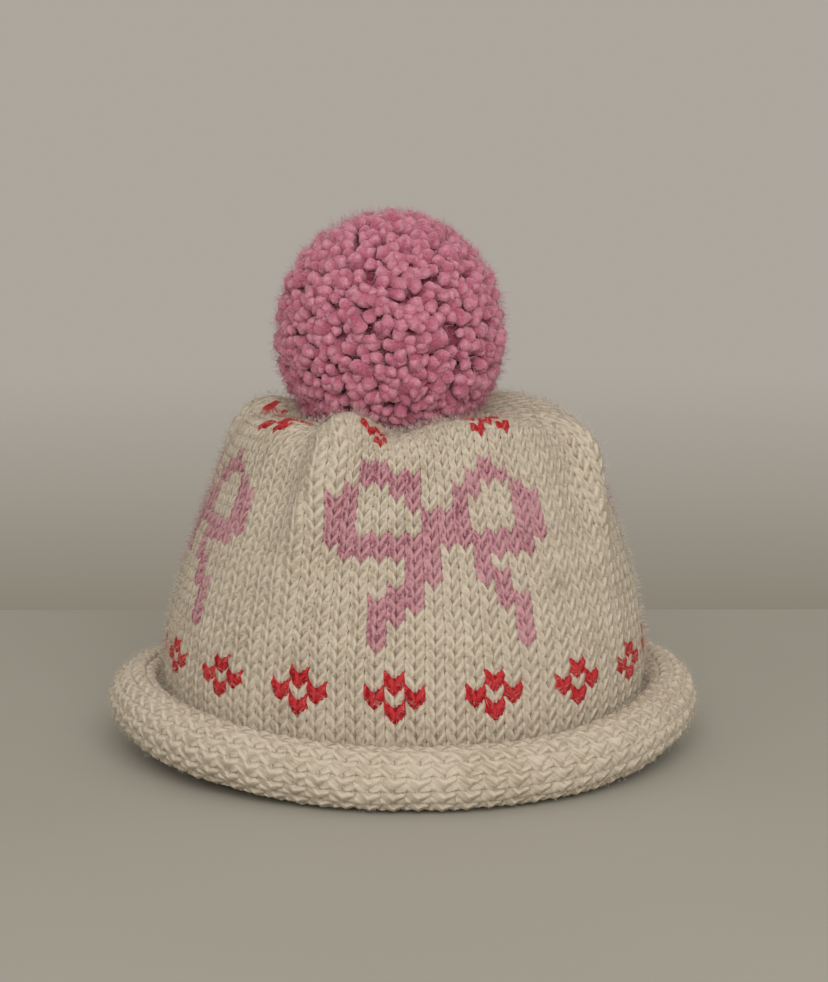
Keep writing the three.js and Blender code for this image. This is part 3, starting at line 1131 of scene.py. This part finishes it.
pink_places = middles("pink places", by_yarn["pink"])
red_places = middles("red places", by_yarn["red"])
coloured_places = middles("coloured places", by_yarn["pink"] + by_yarn["red"])
off = {"neighbour": coloured_places, "clearance": STITCH_REACH}
on_pink = {"neighbour": pink_places, "clearance": STITCH_REACH, "near": True}
on_red = {"neighbour": red_places, "clearance": STITCH_REACH, "near": True}
roll_sheet = form_sheet("roll", 0, 1, rows[ROLL_FIRST], rows[ROLL_LAST], -1)
brim_nap = nap("brim_nap", roll_sheet, cream_nap, 1.0, 21, 2.4)
crown_lower_nap = nap("crown_lower_nap", form_sheet("lower", 0, 1, -2, 7), cream_nap, 1.2, 22, **off)
crown_middle_nap = nap("crown_middle_nap", form_sheet("middle", 0, 1, 7, 17), cream_nap, 1.2, 23, **off)
crown_upper_nap = nap("crown_upper_nap", form_sheet("upper", 0, 1, 17, 33), cream_nap, 1.1, 24, **off)
bow_nap = nap("bow_nap", form_sheet("bow rows", 0, 1, 5, 23), pink_nap, 1.0, 25, **on_pink)
flower_nap = nap("flower_nap", form_sheet("flower rows", 0, 1, 0, 29), red_nap, 1.0, 26, **on_red)

# %% [markdown]
# The tips of the yarn ends get short tufts, and the ball as a whole a thin haze of longer fibres. The tips
# are done in two halves, so that each piece stays small enough.

# %% Stand fibres on the tips of the pompom
TIP_DEPTH = 1.6 * MM


def tips(name, above):
    """The faces of the yarn ends that lie near the outside of the ball, in its upper or its lower half."""
    shape = bmesh.new()
    shape.from_mesh(pompom_ends.data)
    inside = []
    for face in shape.faces:
        arm = face.calc_center_median() - pompom_centre
        reach = POMPOM_RADIUS * bulge(arm.z / arm.length) - TIP_DEPTH
        if arm.length < reach or (arm.z > 0) != above:
            inside.append(face)
    bmesh.ops.delete(shape, geom=inside, context="FACES")
    return shaped(name, shape)


pompom_upper_nap = nap("pompom_upper_nap", tips("upper tips", True), rose_nap, 0.85, 27, 1.7, 0.0, tuft)
pompom_lower_nap = nap("pompom_lower_nap", tips("lower tips", False), rose_nap, 0.85, 28, 1.7, 0.0, tuft)
pompom_haze = nap("pompom_haze", ball("haze ball", POMPOM_RADIUS), rose_nap, 0.6, 29, 4.0, 0.0)

# %% [markdown]
# ## Put the hat on its frame
# Every piece rides on the one body of the hat, and the knit pieces stand for the solids that the frame shows.

# %% Ride and replace
for piece, slot in (
    (brim_knit, "cream_wool"),
    (crown_lower, "cream_wool"),
    (crown_upper, "cream_wool"),
    (bows, "pink_wool"),
    (flowers, "red_wool"),
    (pompom_ends, "pink_wool"),
    (pompom_core, "pink_wool"),
    (brim_nap, "cream_wool"),
    (crown_lower_nap, "cream_wool"),
    (crown_middle_nap, "cream_wool"),
    (crown_upper_nap, "cream_wool"),
    (bow_nap, "pink_wool"),
    (flower_nap, "red_wool"),
    (pompom_upper_nap, "pink_wool"),
    (pompom_lower_nap, "pink_wool"),
    (pompom_haze, "pink_wool"),
):
    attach(piece, "root")
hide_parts("rolled_brim")
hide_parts("crown")
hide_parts("pompom")
for helper in (form, stitch, full_stitch, cut_end, fibre, tuft, pink_places, red_places, coloured_places):
    bpy.data.objects.remove(helper)

# %% [markdown]
# ## Floor, light and camera
# The hat stands on a pale painted board that ends a little behind it, in front of a plain wall. The board has
# matt paint, rolled on: to the eye an even grey with faint broad clouds and no reflections.

# %% Floor
BOARD_BACK = 166 * MM
BOARD_REACH = 3  # in metres, past the edges of the picture
CLOUD_SCALE = 6.0  # for each metre
CAMERA_TURN = math.radians(-14)


def painted_board():
    made, tree, shader = finish("painted board, matt", {"Roughness": 0.75})
    place = add(tree, "ShaderNodeTexCoord").outputs["Object"]
    cloud = add(tree, "ShaderNodeTexNoise", {"Vector": place, "Scale": CLOUD_SCALE, "Detail": 5.0})
    colours = add(tree, "ShaderNodeValToRGB", {"Fac": cloud.outputs["Fac"]})
    colours.color_ramp.elements[0].color = linear("afaca1")
    colours.color_ramp.elements[1].color = linear("b9b6ac")
    tree.links.new(colours.outputs["Color"], shader.inputs["Base Color"])
    return made


to_camera = out_from_axis(CAMERA_TURN)
sideways = UP.cross(to_camera) * BOARD_REACH
front_edge, back_edge = to_camera * BOARD_REACH, to_camera * -BOARD_BACK
corners = [front_edge - sideways, front_edge + sideways, back_edge + sideways, back_edge - sideways]
board = mesh_object("board", corners, [(0, 1, 2, 3)])
board.data.materials.append(painted_board())
print("the board ends", round(BOARD_BACK / MM), "mm behind the middle of the hat")

# %% [markdown]
# One large window behind the camera and above it gives the soft light. The wall is the world's own colour,
# darker low down, and it also fills the shadows.

# %% Light
WALL_DARK_AT, WALL_PALE_AT = -0.21, -0.10  # heights in the direction of view
WINDOW_PLACE, WINDOW_TARGET = Vector((-0.18, -1.08, 0.66)), Vector((0, 0, 0.06))
WINDOW_WIDTH, WINDOW_HEIGHT = 1.0, 0.8
WINDOW_WATTS = 9.3

world = bpy.data.worlds.new("plain wall")
world.use_nodes = True
looking = add(world.node_tree, "ShaderNodeTexCoord").outputs["Generated"]
height = add(world.node_tree, "ShaderNodeSeparateXYZ", {"Vector": looking}).outputs["Z"]
raised = add(
    world.node_tree,
    "ShaderNodeMapRange",
    {"Value": height, "From Min": WALL_DARK_AT, "From Max": WALL_PALE_AT},
)
wall = add(world.node_tree, "ShaderNodeValToRGB", {"Fac": raised.outputs[0]})
wall.color_ramp.elements[0].color = linear("867f71")
wall.color_ramp.elements[1].color = linear("ada79e")
world.node_tree.links.new(wall.outputs["Color"], world.node_tree.nodes["Background"].inputs["Color"])
bpy.context.scene.world = world

lamp = bpy.data.lights.new("window", "AREA")
lamp.shape = "RECTANGLE"
lamp.size = WINDOW_WIDTH
lamp.size_y = WINDOW_HEIGHT
lamp.energy = WINDOW_WATTS
window = placed("window", lamp)
window.location = WINDOW_PLACE
window.rotation_euler = (WINDOW_TARGET - WINDOW_PLACE).to_track_quat("-Z", "Y").to_euler()
print("window:", WINDOW_WATTS, "W")

# %% [markdown]
# The camera is a portrait lens a little above the pompom. Its place and its focal length come from fitting a
# pinhole camera to the photograph, so the focal length is worked out from pixels.

# %% Camera
CAMERA_DISTANCE = 0.600
CAMERA_HEIGHT = 0.1587
PITCH = math.radians(8.74)
YAW = math.radians(0.275)
PHOTO_FOCAL, PHOTO_HEIGHT = 2293, 982  # in pixels
SENSOR_HEIGHT = 36

lens = bpy.data.cameras.new("portrait lens")
lens.sensor_fit = "VERTICAL"
lens.sensor_height = SENSOR_HEIGHT
lens.lens = SENSOR_HEIGHT * PHOTO_FOCAL / PHOTO_HEIGHT
camera = placed("camera", lens)
camera.location = to_camera * CAMERA_DISTANCE + UP * CAMERA_HEIGHT
camera.rotation_euler = (math.pi / 2 - PITCH, 0, CAMERA_TURN - YAW)
bpy.context.scene.camera = camera
bpy.context.scene.view_settings.view_transform = "Standard"
print("focal length:", round(lens.lens, 1), "mm")
